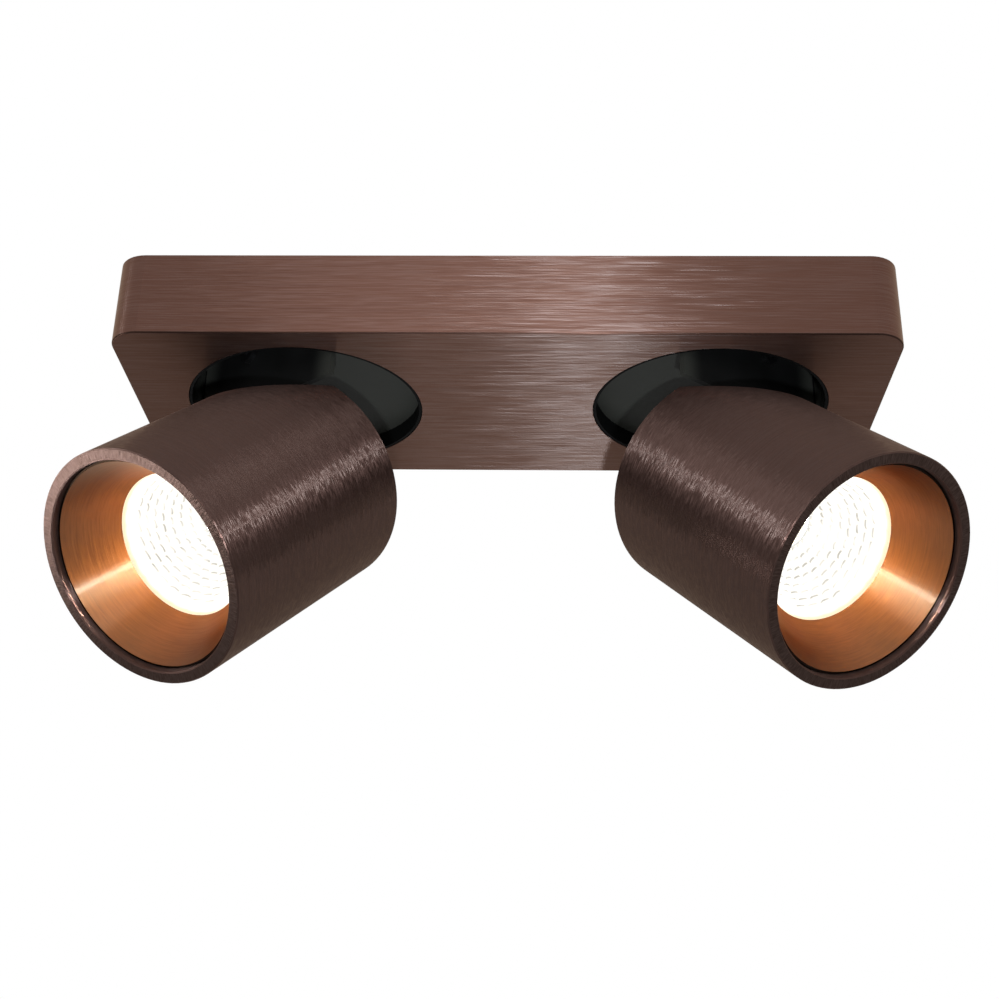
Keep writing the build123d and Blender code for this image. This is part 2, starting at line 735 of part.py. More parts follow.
base_pieces = {
    "housing": housing,
    "mounting_plate": mounting_plate,
    "plate_side_screws": plate_side_screws,
    "cable_grommet": cable_grommet,
    "earth_screw": earth_screw,
    "led_driver": led_driver,
    "driver_screws": driver_screws,
    "terminal_block": terminal_block,
    "terminal_clamp_screws": terminal_clamp_screws,
    "terminal_screws": terminal_screws,
}
joint_pieces = {
    "friction_ring": friction_ring,
    "retaining_ring": retaining_ring,
    "ring_screws": ring_screws,
}
swivel_pieces = {
    "swivel_cup": swivel_cup,
    "cup_bush": cup_bush,
    "hinge_leaf": hinge_leaf,
    "leaf_screws": leaf_screws,
}
head_pieces = {
    "head_tube": head_tube,
    "heat_sink": heat_sink,
    "rear_cap": rear_cap,
    "rear_cap_screws": rear_cap_screws,
    "head_bush": head_bush,
    "hinge_pin": hinge_pin,
    "hinge_nut": hinge_nut,
    "friction_washers": friction_washers,
    "led_board": led_board,
    "led_chip": led_chip,
    "led_holder": led_holder,
    "holder_screws": holder_screws,
    "reflector_sleeve": reflector_sleeve,
    "reflector": reflector,
    "copper_cone": copper_cone,
    "cone_seat": cone_seat,
}

for name, piece in base_pieces.items():
    save(piece.part, name)

for side, centre_x, turn, tilt in (
    ("left", -head_x, left_turn, left_tilt),
    ("right", head_x, right_turn, right_tilt),
):
    hole = Location((centre_x, 0, front_face))
    swivel = hole * Location((0, 0, 0), (0, 0, 1), turn)
    hinge = swivel * Location((0, -hinge_offset, -hinge_drop)) * Location((0, 0, 0), (1, 0, 0), -tilt)
    head = hinge * Location((0, hinge_offset, hinge_setback))
    for name, piece in joint_pieces.items():
        save(piece.part.moved(hole), f"{side}_{name}")
    for name, piece in swivel_pieces.items():
        save(piece.part.moved(swivel), f"{side}_{name}")
    for name, piece in head_pieces.items():
        save(piece.part.moved(head), f"{side}_{name}")
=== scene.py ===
from math import cos, pi, radians, sin

import bpy
from mathutils import Euler, Matrix, Vector


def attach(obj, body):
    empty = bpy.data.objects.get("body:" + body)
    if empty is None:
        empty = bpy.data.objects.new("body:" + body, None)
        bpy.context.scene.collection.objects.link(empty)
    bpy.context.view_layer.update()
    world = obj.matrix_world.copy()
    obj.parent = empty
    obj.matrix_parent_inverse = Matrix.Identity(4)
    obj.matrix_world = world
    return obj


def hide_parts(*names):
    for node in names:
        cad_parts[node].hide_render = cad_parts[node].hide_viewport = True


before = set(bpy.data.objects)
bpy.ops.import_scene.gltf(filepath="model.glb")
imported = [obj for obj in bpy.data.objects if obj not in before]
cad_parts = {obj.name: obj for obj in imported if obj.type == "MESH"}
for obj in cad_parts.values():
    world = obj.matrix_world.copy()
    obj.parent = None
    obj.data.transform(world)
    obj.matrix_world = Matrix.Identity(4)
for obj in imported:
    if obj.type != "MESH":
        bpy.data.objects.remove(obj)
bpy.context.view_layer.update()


def rgb(red, green, blue):
    """Colour as a shader socket takes it."""
    return (red, green, blue, 1.0)


def even(density):
    """The same density along all three axes."""
    return (density, density, density)


# Photograph's camera: place in metres, angles in degrees, focal length and centre in pixels
PHOTO_SIZE = 999
CAMERA_PLACE = Vector((0.01307, -0.47595, -0.28944))
CAMERA_RISE = 25.406
CAMERA_YAW = -1.832
CAMERA_ROLL = 1.112
FOCAL_PIXELS = 1537.98
CENTRE_PIXELS = (499.5, 493.04)
SENSOR_MM = 36.0
CLIP_NEAR = 0.01
CLIP_FAR = 50.0

# Stage: the world's level for the light on the object, and the floor's place, half width and own light
WORLD_LEVEL = 0.3
FLOOR_Z = -1.2
FLOOR_HALF = 6.0
FLOOR_LIFT = 0.25
FLOOR_GRAIN = even(6.0)
FLOOR_TONES = (rgb(0.80, 0.80, 0.80), rgb(0.84, 0.84, 0.84))
WHITE = rgb(1.0, 1.0, 1.0)

# Beam in degrees of a lamp that shines to all sides in front of it
FULL_BEAM = 180.0

# Lamp heads: hole centre along the base in metres, turn and tilt in degrees, then the hinge's place and
# the leaf's half length in metres
HEADS = {"left": (-0.071, -38.0, 49.0), "right": (0.071, 39.5, 49.5)}
FRONT_FACE = -0.030
HINGE_OFFSET = 0.019
HINGE_DROP = 0.0196
HINGE_SETBACK = 0.01065
LEAF_HALF = 0.0319

# Pieces inside a head, in metres: radii, and depths from the tube's rear plane towards the light opening
TUBE_BORE = 0.0345
CHIP_RADIUS = 0.0070
BOWL_REAR = 0.0088
BOWL_FRONT = 0.0236
CONE_REAR = 0.0652
CONE_FRONT = 0.0826
CONE_REAR_RADIUS = 0.0238
CONE_FRONT_RADIUS = 0.0334
CONE_WALL = 0.0008
CONE_LIP = 0.0006
SEAT_REAR = 0.0730
SEAT_FRONT = 0.0800
TURN_STEPS = 180
SHARP_ANGLE = 20.0

# Directions, and the mask that keeps what lies across a head's axis
X_AXIS = (1.0, 0.0, 0.0)
Y_AXIS = (0.0, 1.0, 0.0)
Z_AXIS = (0.0, 0.0, 1.0)
ACROSS_AXIS = (1.0, 1.0, 0.0)

# Parts of a noise's range that a finish uses, the noise's mean, and an equal share of two
WIDE = (0.25, 0.75)
MIDDLE = (0.3, 0.7)
NARROW = (0.35, 0.65)
CLOSE = (0.38, 0.62)
MEAN = 0.5
HALF = 0.5

# Rows of hairlines: a row's longest shift in strokes, and where the rows start, in rows
ROW_SHIFT = 60.0
ROW_START = 0.3

# Brushed bronze of the housing: strokes in metres, bands per metre, faces and edges by the normal's Z
BASE_TONES = (rgb(0.144, 0.066, 0.048), rgb(0.156, 0.075, 0.055))
# Edge colours: painted shade that mutes the highlight on the edges and fillets
BASE_EDGE = rgb(0.055, 0.028, 0.021)
BASE_TINT = rgb(1.0, 0.86, 0.72)
BASE_GLINTS = (rgb(0.070, 0.058, 0.052), rgb(0.190, 0.172, 0.168))
BASE_GLINT_EDGE = rgb(0.03, 0.027, 0.026)
BASE_HAIR_LENGTH = 0.020
BASE_HAIR_PITCH = 0.00022
BASE_HAIR_SHARE = 0.85
BASE_BANDS = (9.0, 420.0, 420.0)
BASE_BAND_SHARE = 0.15
BASE_SCRATCH_LENGTH = 0.013
BASE_SCRATCH_PITCH = 0.00027
BASE_SCRATCH_ROW = 700.0
BASE_SCRATCH_RANGE = (0.42, 0.66)
BASE_ROUGHNESS = (0.28, 0.34)
BASE_HAIR_LEAN = 0.05
BASE_BAND_LEAN = 0.03
BASE_GLINT_LEAN = 0.14
BASE_UPRIGHT = (0.45, 0.55)
BASE_EDGE_START = (0.08, 0.25)
BASE_EDGE_END = (0.88, 0.98)

# Brushed bronze of the tubes: strokes per metre, spokes of the front edge, pairs for wall and front edge
TUBE_TONES = (rgb(0.094, 0.050, 0.041), rgb(0.120, 0.067, 0.057))
TUBE_TINT = rgb(1.0, 0.84, 0.68)
TUBE_GLINTS = (rgb(0.070, 0.056, 0.050), rgb(0.105, 0.086, 0.078))
TUBE_EDGE_GLINTS = (rgb(0.044, 0.027, 0.022), rgb(0.076, 0.050, 0.043))
TUBE_RINGS = (30.0, 30.0, 2600.0)
TUBE_STROKES = (330.0, 330.0, 2600.0)
TUBE_ASIDE = (0.31, 0.17, 0.23)
TUBE_FACE = (0.8, 0.9)
TUBE_GLINT_RANGE = (0.45, 0.95)
TUBE_ROUGHNESS = (0.36, 0.50)
TUBE_LEAN = 0.10
TUBE_GLINT_LEAN = 0.13
TUBE_EDGE_LEAN = 0.20
TUBE_GLINT_SHARE = (0.3, 1.0)
TUBE_GLINT_ROUGHNESS = (0.38, 0.46)
TUBE_GLINT_STRETCH = (-0.87, 0.0)
SPOKE_DENSITY = 150.0
SPOKE_BREAKS = 420.0
SPOKE_ASIDE = (7.3, 3.1, 5.7)
SPOKE_SKEW = (-0.5, 0.5)

# Spun copper of the cones: strokes per metre, and the depths between which the copper darkens as painted
# shade
COPPER_SPUN = (rgb(0.26, 0.068, 0.009), rgb(0.40, 0.119, 0.018))
COPPER_SHADED = (rgb(0.14, 0.034, 0.004), rgb(0.23, 0.065, 0.009))
# The dark lip colours are painted shade of the gap round the cone
COPPER_LIP = rgb(0.012, 0.008, 0.006)
COPPER_TINT = rgb(0.62, 0.38, 0.22)
COPPER_SHINE = rgb(0.76, 0.67, 0.50)
COPPER_LIP_SHINE = rgb(0.01, 0.01, 0.01)
COPPER_RINGS = (45.0, 45.0, 3000.0)
COPPER_RING_SHARE = 0.55
COPPER_STROKES = (200.0, 200.0, 1900.0)
COPPER_STROKE_SHARE = 0.45
COPPER_SHADE_DEPTHS = (-0.066, -0.084)
COPPER_LIP_FACING = (-0.9, -0.8)
COPPER_ROUGHNESS = (0.42, 0.48)
COPPER_RING_LEAN = 0.3
COPPER_STROKE_LEAN = 0.10
COPPER_GLINT_LEAN = 0.05

# Lit reflector, whose glow is painted light: dashes between the rows of facets, in shares of a facet and
# in rows from the rear.
# FACETS_AHEAD keeps the count of facets above zero all the way round.
FACETS = 28
FACET_RINGS = 9
BOWL_BASE = rgb(0.02, 0.02, 0.018)
BOWL_WHITE = rgb(1.0, 0.96, 0.88)
BOWL_RIM_GLOW = rgb(0.92, 0.76, 0.52)
BOWL_DASH = rgb(0.04, 0.04, 0.03)
BOWL_GRAIN = even(180.0)
BOWL_ROUGHNESS = (0.18, 0.28)
FACETS_AHEAD = 100.0
DASH_ENDS = (0.28, 0.46)
DASH_CURVE = 0.7
DASH_SLANT = 0.2
DASH_THICKNESS = (0.04, 0.20)
DASH_DEPTH = (0.15, 0.55)
LAST_DASHES = (7.3, 7.5)
RIM_ROWS = (8.6, 9.0)

# Lit LED: colours, and the share of its radius over which its middle fades
CHIP_BASE = rgb(0.85, 0.68, 0.30)
CHIP_GLOW = (rgb(1.0, 0.93, 0.78), rgb(1.0, 0.97, 0.88))
CHIP_BORDER = rgb(0.0029, 0.0028, 0.0025)
CHIP_GRAIN = even(2500.0)
CHIP_FADE = (0.4, 0.7)
CHIP_ROUGHNESS = (0.32, 0.38)

# Coats: grain per metre, relief, heights and lengths in metres, walls and ends by the normal's parts
COAT_GRAIN = 900.0
COAT_CLOUDS = even(60.0)
COAT_BUMP = 0.12
COAT_RELIEF = 0.00008
COAT_SMOOTHER = 0.05
COAT_ROUGHER = 0.07
CUP_FLOOR = (rgb(0.026, 0.027, 0.023), rgb(0.034, 0.035, 0.030))
# Painted shade of the cup: near black on its rim and wall, with less specular there
CUP_PAINTED_SHADE = rgb(0.003, 0.003, 0.003)
CUP_RIM = (FRONT_FACE + 0.0005, FRONT_FACE + 0.0015)
CUP_WALL = (0.5, 0.8)
CUP_OUTER_END = (0.5, 0.8)
CUP_ROUGHNESS = (0.58, 0.68)
CUP_SPECULAR = (0.25, 0.05)
# Hinge leaf: black deepened as painted shade, and painted light over the last length towards each end
LEAF_BLACK_AND_SHADE = (rgb(0.003, 0.003, 0.003), rgb(0.005, 0.005, 0.005))
LEAF_PAINTED_LIGHT = rgb(0.030, 0.031, 0.027)
LEAF_PAINTED_LIGHT_LENGTH = 0.009
LEAF_ROUGHNESS = (0.55, 0.67)

# Galvanised sheet: spangles and rolling lines per metre, relief in metres
ZINC_TONES = (rgb(0.40, 0.41, 0.43), rgb(0.62, 0.63, 0.64))
ZINC_SPANGLES = 190.0
ZINC_LINES = (30.0, 1500.0, 1500.0)
ZINC_RANGE = (0.2, 0.8)
ZINC_ROUGHNESS = (0.28, 0.45)
ZINC_BUMP = 0.1
ZINC_RELIEF = 0.00005

# Sockets of the Mix node by its type: both inputs and the output
MIX_SOCKETS = {"RGBA": (6, 7, 2), "VECTOR": (4, 5, 1)}

# Kinds of pieces that share another kind's finish
SAME_AS = {
    "retaining_ring": "mounting_plate",
    "cup_bush": "cable_grommet",
    "head_bush": "cable_grommet",
    "leaf_screws": "plate_side_screws",
    "rear_cap_screws": "plate_side_screws",
    "hinge_pin": "plate_side_screws",
    "hinge_nut": "plate_side_screws",
    "terminal_clamp_screws": "driver_screws",
    "terminal_screws": "driver_screws",
    "ring_screws": "driver_screws",
    "holder_screws": "driver_screws",
    "friction_washers": "friction_ring",
    "led_holder": "led_driver",
    "cone_seat": "reflector_sleeve",
}


def head_place(side):
    """Origin of a lamp head on its tube's axis at the rear plane, and its Euler angles."""
    x, turn, tilt = HEADS[side]
    swing = Matrix.Rotation(radians(turn), 3, "Z")
    aim = swing @ Matrix.Rotation(radians(-tilt), 3, "X")
    hinge = Vector((x, 0, FRONT_FACE)) + swing @ Vector((0, -HINGE_OFFSET, -HINGE_DROP))
    origin = hinge + aim @ Vector((0, HINGE_OFFSET, HINGE_SETBACK))
    return origin, (radians(-tilt), 0.0, radians(turn))


class Finish:
    """A node material, written as small expressions."""

    def __init__(self, name):
        self.material = bpy.data.materials.new(name)
        self.material.use_nodes = True
        self.tree = self.material.node_tree
        self.tree.nodes.clear()
        self.source = None

    def feed(self, socket, value):
        """Links a socket to another socket, or sets it to a plain value."""
        if isinstance(value, bpy.types.NodeSocket):
            self.tree.links.new(value, socket)
        else:
            socket.default_value = value

    def add(self, kind, sockets=None, **settings):
        """New node with its settings and its fed sockets."""
        node = self.tree.nodes.new(kind)
        for key, value in settings.items():
            setattr(node, key, value)
        for key, value in (sockets or {}).items():
            self.feed(node.inputs[key], value)
        return node

    def coords(self, name):
        """Output of the material's one Texture Coordinate node."""
        if self.source is None:
            self.source = self.add("ShaderNodeTexCoord")
        return self.source.outputs[name]

    def place(self):
        """Place in the part's frame, in metres."""
        return self.coords("Object")

    def facing(self):
        """Surface normal in the part's frame."""
        return self.coords("Normal")

    def mapped(self, kind, vector, angles, location=None):
        """Vector taken through a Mapping node of one type. A direction has no location."""
        sockets = {"Vector": vector, "Rotation": angles}
        if location is not None:
            sockets["Location"] = location
        return self.add("ShaderNodeMapping", sockets, vector_type=kind).outputs[0]

    def in_head(self, side):
        """Place in the lamp head's own frame: the tube's axis is Z and the rear plane is zero."""
        origin, angles = head_place(side)
        return self.mapped("TEXTURE", self.place(), angles, origin)

    def facing_in_head(self, side):
        """Surface normal in the lamp head's own frame."""
        return self.mapped("TEXTURE", self.facing(), head_place(side)[1])

    def out_of_head(self, side, vector):
        """Direction of the lamp head's own frame, in the part's frame."""
        return self.mapped("VECTOR", vector, head_place(side)[1])

    def in_swivel(self, side):
        """Place in the turning cup's frame: X runs along the hinge leaf."""
        x, turn, _ = HEADS[side]
        return self.mapped("TEXTURE", self.place(), (0.0, 0.0, radians(turn)), (x, 0.0, FRONT_FACE))

    def to_world(self, vector):
        """Direction of the part's frame, in the world, so that it moves with its body."""
        node = self.add("ShaderNodeVectorTransform", {0: vector}, vector_type="VECTOR")
        node.convert_from = "OBJECT"
        node.convert_to = "WORLD"
        return node.outputs[0]

    def calc(self, operation, a, b=0.0):
        """Result of a Math node."""
        return self.add("ShaderNodeMath", {0: a, 1: b}, operation=operation).outputs[0]

    def mixed(self, first, second):
        """Sum of two values, each a pair of the value and its share."""
        return self.calc("ADD", self.calc("MULTIPLY", *first), self.calc("MULTIPLY", *second))

    def vec(self, operation, a, b=(0.0, 0.0, 0.0)):
        """Result of a Vector Math node."""
        node = self.add("ShaderNodeVectorMath", {0: a, 1: b}, operation=operation)
        return node.outputs["Value" if operation == "LENGTH" else "Vector"]

    def scaled(self, vector, factor):
        """Vector times a number."""
        return self.add("ShaderNodeVectorMath", {0: vector, 3: factor}, operation="SCALE").outputs[0]

    def parts(self, vector):
        """X, Y and Z of a vector."""
        return self.add("ShaderNodeSeparateXYZ", {0: vector}).outputs

    def span(self, value, low, high, to_low=0.0, to_high=1.0, smooth=False):
        """Value taken from one range to another, held at its ends."""
        kind = "SMOOTHSTEP" if smooth else "LINEAR"
        sockets = {0: value, 1: low, 2: high, 3: to_low, 4: to_high}
        return self.add("ShaderNodeMapRange", sockets, interpolation_type=kind, clamp=True).outputs[0]

    def fall(self, value, low, high, smooth=False):
        """One below a range, and zero above it."""
        return self.span(value, low, high, 1.0, 0.0, smooth)

    def between(self, share, start, end):
        """Value between two ends, by a share from zero to one."""
        return self.span(share, 0.0, 1.0, start, end)

    def noise(self, vector, detail=2.0, rough=0.5):
        """Noise with one cell per unit of a vector."""
        sockets = {"Vector": vector, "Scale": 1.0, "Detail": detail, "Roughness": rough}
        return self.add("ShaderNodeTexNoise", sockets).outputs[0]

    def grain(self, place, density, detail=2.0, rough=0.5):
        """Noise with so many cells per metre along each axis."""
        return self.noise(self.vec("MULTIPLY", place, density), detail, rough)

    def hairlines(self, along, across, length, pitch, first_row=0.0):
        """Straight strokes in rows. Each row has its own shift, so that no ends line up."""
        rows = self.calc("DIVIDE", across, pitch)
        row = self.calc("FLOOR", self.calc("ADD", rows, first_row + ROW_START))
        own = self.add("ShaderNodeTexWhiteNoise", {"W": row}, noise_dimensions="1D").outputs["Value"]
        shift = self.calc("MULTIPLY", own, ROW_SHIFT)
        stroke = self.calc("ADD", self.calc("DIVIDE", along, length), shift)
        cell = self.add("ShaderNodeCombineXYZ", {0: stroke, 1: HALF, 2: HALF}).outputs[0]
        return self.noise(cell, detail=1.0)

    def mix(self, kind, share, a, b):
        """Value between two values of one type, by a share."""
        first, second, result = MIX_SOCKETS[kind]
        sockets = {0: share, first: a, second: b}
        return self.add("ShaderNodeMix", sockets, data_type=kind, clamp_factor=True).outputs[result]

    def blend(self, share, a, b):
        """Colour between two colours."""
        return self.mix("RGBA", share, a, b)

    def blend_vec(self, share, a, b):
        """Vector between two vectors."""
        return self.mix("VECTOR", share, a, b)

    def strokes(self, *leans):
        """Normal that leans to and fro. Each lean is a noise, a world direction and an amount."""
        normal = self.add("ShaderNodeNewGeometry").outputs["Normal"]
        for grain, way, amount in leans:
            lean = self.calc("MULTIPLY", self.calc("SUBTRACT", grain, MEAN), amount)
            normal = self.vec("ADD", normal, self.scaled(way, lean))
        return self.vec("NORMALIZE", normal)

    def bump(self, height, strength, distance):
        """Normal of a bumpy surface."""
        sockets = {"Strength": strength, "Distance": distance, "Height": height}
        return self.add("ShaderNodeBump", sockets).outputs[0]

    def glints(self, colour, rough, stretch, spread, normal):
        """Sharp glints of strokes: wide across the grooves, narrow along them by a negative stretch."""
        sockets = {"Color": colour, "Roughness": rough, "Anisotropy": stretch}
        sockets.update({"Normal": normal, "Tangent": spread})
        return self.add("ShaderNodeBsdfAnisotropic", sockets, distribution="GGX").outputs[0]

    def surface(self, over=None, share=0.0, **sockets):
        """Principled surface, with another shader taking a share of it."""
        named = {key.replace("_", " "): value for key, value in sockets.items()}
        shader = self.add("ShaderNodeBsdfPrincipled", named).outputs[0]
        if over is not None:
            shader = self.add("ShaderNodeMixShader", {0: share, 1: shader, 2: over}).outputs[0]
        self.add("ShaderNodeOutputMaterial", {"Surface": shader})
        return self


def bronze_base():
    """Bronze anodised housing, with level hairlines on its sides and lengthwise ones on its front face."""
    f = Finish("bronze_brushed_base")
    x, y, z = f.parts(f.place())
    flatness = f.calc("ABSOLUTE", f.parts(f.facing())[2])
    upright = f.fall(flatness, *BASE_UPRIGHT)
    lying = f.calc("SUBTRACT", 1.0, upright)
    along = f.calc("ADD", x, f.calc("MULTIPLY", y, upright))
    across = f.mixed((z, upright), (y, lying))
    hair = f.span(f.hairlines(along, across, BASE_HAIR_LENGTH, BASE_HAIR_PITCH), *WIDE)
    bands = f.grain(f.place(), BASE_BANDS)
    tone = f.mixed((hair, BASE_HAIR_SHARE), (bands, BASE_BAND_SHARE))
    # Painted shade on the edges and fillets, muting their highlight
    edge = f.calc("MULTIPLY", f.span(flatness, *BASE_EDGE_START), f.fall(flatness, *BASE_EDGE_END))
    sparse = f.hairlines(along, across, BASE_SCRATCH_LENGTH, BASE_SCRATCH_PITCH, BASE_SCRATCH_ROW)
    scratched = f.blend(f.span(sparse, *BASE_SCRATCH_RANGE), *BASE_GLINTS)
    level = f.vec("CROSS_PRODUCT", Z_AXIS, f.facing())
    groove = f.to_world(f.blend_vec(upright, X_AXIS, level))
    spread = f.to_world(f.blend_vec(upright, Y_AXIS, Z_AXIS))
    return f.surface(
        Base_Color=f.blend(edge, f.blend(tone, *BASE_TONES), BASE_EDGE),
        Metallic=1.0,
        Specular_Tint=BASE_TINT,
        Roughness=f.between(hair, *BASE_ROUGHNESS),
        Anisotropic=1.0,
        Tangent=spread,
        Normal=f.strokes((hair, groove, BASE_HAIR_LEAN), (bands, groove, BASE_BAND_LEAN)),
        share=0.25,
        over=f.glints(
            colour=f.blend(edge, scratched, BASE_GLINT_EDGE),
            rough=0.40,
            stretch=-0.84,
            spread=spread,
            normal=f.strokes((hair, groove, BASE_GLINT_LEAN)),
        ),
    )


def bronze_tube(side):
    """Bronze anodised tube, brushed round its axis, with radial hairlines on its front edge."""
    f = Finish(f"bronze_brushed_tube_{side}")
    local = f.in_head(side)
    face = f.span(f.calc("ABSOLUTE", f.parts(f.facing_in_head(side))[2]), *TUBE_FACE)
    wall = f.calc("SUBTRACT", 1.0, face)
    ringed = f.span(f.grain(local, TUBE_RINGS, detail=3.0, rough=0.6), *MIDDLE)
    struck = f.span(f.grain(local, TUBE_STROKES, detail=1.0), *CLOSE)
    aside = f.vec("ADD", local, TUBE_ASIDE)
    tilted = f.span(f.grain(aside, TUBE_STROKES, detail=1.0), *CLOSE)
    outward = f.vec("MULTIPLY", local, ACROSS_AXIS)
    spoke = f.vec("NORMALIZE", outward)
    reach = f.calc("MULTIPLY", f.vec("LENGTH", outward), SPOKE_BREAKS)
    hatch = f.vec("ADD", f.scaled(spoke, SPOKE_DENSITY), f.scaled(Z_AXIS, reach))
    spokes = f.span(f.noise(hatch, detail=1.0), *NARROW)
    skew = f.span(f.noise(f.vec("ADD", hatch, SPOKE_ASIDE), detail=1.0), *NARROW, *SPOKE_SKEW)
    hair = f.mixed((struck, wall), (spokes, face))
    lean = f.mixed((tilted, wall), (spokes, face))
    sideways = f.calc("ADD", f.calc("MULTIPLY", skew, face), MEAN)
    tone = f.mixed((ringed, wall), (spokes, face))
    wall_glints = f.blend(f.span(hair, *TUBE_GLINT_RANGE), *TUBE_GLINTS)
    edge_glints = f.blend(spokes, *TUBE_EDGE_GLINTS)
    turning = f.vec("CROSS_PRODUCT", Z_AXIS, spoke)
    groove = f.to_world(f.out_of_head(side, f.blend_vec(face, turning, spoke)))
    spread = f.to_world(f.out_of_head(side, f.blend_vec(face, Z_AXIS, turning)))
    return f.surface(
        Base_Color=f.blend(tone, *TUBE_TONES),
        Metallic=1.0,
        Specular_Tint=TUBE_TINT,
        Roughness=f.between(hair, *TUBE_ROUGHNESS),
        Anisotropic=1.0,
        Tangent=spread,
        Normal=f.strokes((lean, groove, TUBE_LEAN)),
        share=f.between(face, *TUBE_GLINT_SHARE),
        over=f.glints(
            colour=f.blend(face, wall_glints, edge_glints),
            rough=f.between(face, *TUBE_GLINT_ROUGHNESS),
            stretch=f.between(face, *TUBE_GLINT_STRETCH),
            spread=spread,
            normal=f.strokes((lean, groove, TUBE_GLINT_LEAN), (sideways, spread, TUBE_EDGE_LEAN)),
        ),
    )


def copper(side):
    """Copper-coloured cone, spun round its axis, darker towards the front as painted shade, and with a
    dark front lip as painted shade of the gap.
    """
    f = Finish(f"copper_spun_{side}")
    local = f.in_head(side)
    # The front lip is painted dark: painted shade of the gap
    lip = f.fall(f.parts(f.facing_in_head(side))[2], *COPPER_LIP_FACING)
    ringed = f.grain(local, COPPER_RINGS, detail=3.0, rough=0.6)
    struck = f.grain(local, COPPER_STROKES)
    hair = f.mixed((ringed, COPPER_RING_SHARE), (struck, COPPER_STROKE_SHARE))
    tone = f.span(hair, *MIDDLE)
    # Painted shade: the copper darkens towards the front
    front_shade = f.span(f.parts(local)[2], *COPPER_SHADE_DEPTHS)
    colour = f.blend(front_shade, f.blend(tone, *COPPER_SPUN), f.blend(tone, *COPPER_SHADED))
    spoke = f.vec("NORMALIZE", f.vec("MULTIPLY", local, ACROSS_AXIS))
    groove = f.to_world(f.out_of_head(side, f.vec("CROSS_PRODUCT", Z_AXIS, spoke)))
    spread = f.to_world(f.out_of_head(side, Z_AXIS))
    return f.surface(
        Base_Color=f.blend(lip, colour, COPPER_LIP),
        Metallic=1.0,
        Specular_Tint=COPPER_TINT,
        Roughness=f.span(hair, *MIDDLE, *COPPER_ROUGHNESS),
        Anisotropic=0.6,
        Tangent=spread,
        Normal=f.strokes((ringed, spread, COPPER_RING_LEAN), (struck, groove, COPPER_STROKE_LEAN)),
        share=0.1,
        over=f.glints(
            colour=f.blend(lip, COPPER_SHINE, COPPER_LIP_SHINE),
            rough=0.31,
            stretch=-0.74,
            spread=spread,
            normal=f.strokes((struck, groove, COPPER_GLINT_LEAN)),
        ),
    )


def lit_bowl(side):
    """Faceted reflector of the lit lamp, glowing as painted light: warm white, with a cream rim and thin
    dashes where its rows of facets meet.
    """
    f = Finish(f"reflector_lit_{side}")
    local = f.in_head(side)
    x, y, _ = f.parts(local)
    row = f.span(f.mixed((x, x), (y, y)), BOWL_REAR**2, BOWL_FRONT**2, 0.0, float(FACET_RINGS))
    near = f.calc("ROUND", row)
    odd = f.calc("MODULO", near, 2.0)
    facet = f.calc("ADD", f.calc("MULTIPLY", f.calc("ARCTAN2", y, x), FACETS / (2 * pi)), FACETS_AHEAD)
    step = f.calc("FRACT", f.calc("ADD", facet, f.calc("MULTIPLY", odd, HALF)))
    middle = f.calc("SUBTRACT", step, HALF)
    across = f.fall(f.calc("ABSOLUTE", middle), *DASH_ENDS, smooth=True)
    sag = f.mixed((f.calc("MULTIPLY", middle, middle), DASH_CURVE), (middle, DASH_SLANT))
    off = f.calc("ABSOLUTE", f.calc("SUBTRACT", f.calc("SUBTRACT", row, near), sag))
    thin = f.fall(off, *DASH_THICKNESS, smooth=True)
    dash = f.calc("MULTIPLY", f.calc("MULTIPLY", across, thin), f.fall(row, *LAST_DASHES))
    uneven = f.grain(local, BOWL_GRAIN)
    dim = f.calc("MULTIPLY", dash, f.span(uneven, *NARROW, *DASH_DEPTH))
    white = f.blend(f.span(row, *RIM_ROWS), BOWL_WHITE, BOWL_RIM_GLOW)
    return f.surface(
        Base_Color=BOWL_BASE,
        Metallic=1.0,
        Roughness=f.span(uneven, *MIDDLE, *BOWL_ROUGHNESS),
        # Emission is painted light: the glow of the LED's light on the reflector
        Emission_Color=f.blend(dim, white, BOWL_DASH),
        Emission_Strength=1.25,
    )


def lit_chip(side):
    """Phosphor of the lit LED, brightest in its middle."""
    f = Finish(f"led_phosphor_lit_{side}")
    grain = f.grain(f.place(), CHIP_GRAIN)
    glow = f.blend(f.span(grain, *MIDDLE), *CHIP_GLOW)
    reach = f.vec("LENGTH", f.vec("MULTIPLY", f.in_head(side), ACROSS_AXIS))
    border = f.span(reach, CHIP_RADIUS * CHIP_FADE[0], CHIP_RADIUS * CHIP_FADE[1], smooth=True)
    return f.surface(
        Base_Color=CHIP_BASE,
        Roughness=f.span(grain, *MIDDLE, *CHIP_ROUGHNESS),
        Emission_Color=f.blend(border, glow, CHIP_BORDER),
        Emission_Strength=505.0,
    )


def coat_noises(f, grain):
    """Fine grain and broad clouds of a coat."""
    return f.grain(f.place(), even(grain)), f.grain(f.place(), COAT_CLOUDS, detail=3.0)


def coat(name, dark, light, rough, grain=COAT_GRAIN, bump=COAT_BUMP, metallic=0.0, specular=0.5):
    """Fine-grained coat, plated metal or moulded surface."""
    f = Finish(name)
    fine, clouds = coat_noises(f, grain)
    tone = f.mixed((fine, HALF), (clouds, HALF))
    return f.surface(
        Base_Color=f.blend(f.span(tone, *NARROW), rgb(*dark), rgb(*light)),
        Metallic=metallic,
        Roughness=f.span(clouds, *MIDDLE, rough - COAT_SMOOTHER, rough + COAT_ROUGHER),
        Specular_IOR_Level=specular,
        Normal=f.bump(fine, bump, COAT_RELIEF),
    )


